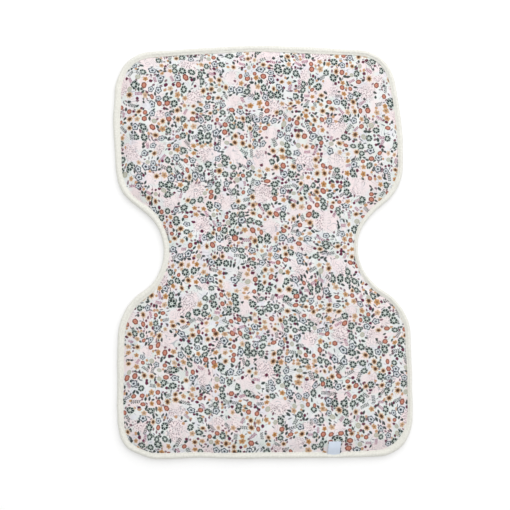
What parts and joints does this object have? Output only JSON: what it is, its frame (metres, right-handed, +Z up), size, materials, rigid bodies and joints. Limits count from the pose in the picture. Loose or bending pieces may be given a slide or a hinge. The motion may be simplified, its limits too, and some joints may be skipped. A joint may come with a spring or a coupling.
{
  "type": "kneeling pad",
  "caption": "Thin hourglass-shaped padded kneeling pad with a printed cotton face, foam core, plush back, rolled plush binding and a folded ribbon label that lifts.",
  "frame": {"origin": "on the surface that the pad lies on, under the middle of its outline", "axes": "+Z up, +Y towards the far end, +X to the right of someone who kneels at the near end, where the label is"},
  "size_m": [0.305, 0.4319, 0.012],
  "materials": {
    "back_plush": "short cream plush pile",
    "foam": "soft open-cell foam sheet",
    "polyester_wadding": "loose white polyester wadding",
    "printed_cotton": "plain-weave cotton with a small all-over flower print",
    "binding_plush": "short cream plush pile",
    "ribbon": "pale lilac grosgrain ribbon, bare"
  },
  "bodies": {
    "pad": {"back_panel": "back_plush", "foam_core": "foam", "wadding": "polyester_wadding", "face_panel": "printed_cotton", "edge_binding": "binding_plush", "label_tail": "ribbon"},
    "label": {"label_flap": "ribbon"}
  },
  "joints": [
    {"name": "label_flip", "type": "hinge", "parent": "pad", "child": "label", "pos_m": [0.072, -0.20795, 0.00597], "axis": [1, 0, 0], "range_deg": [0, 95]}
  ]
}
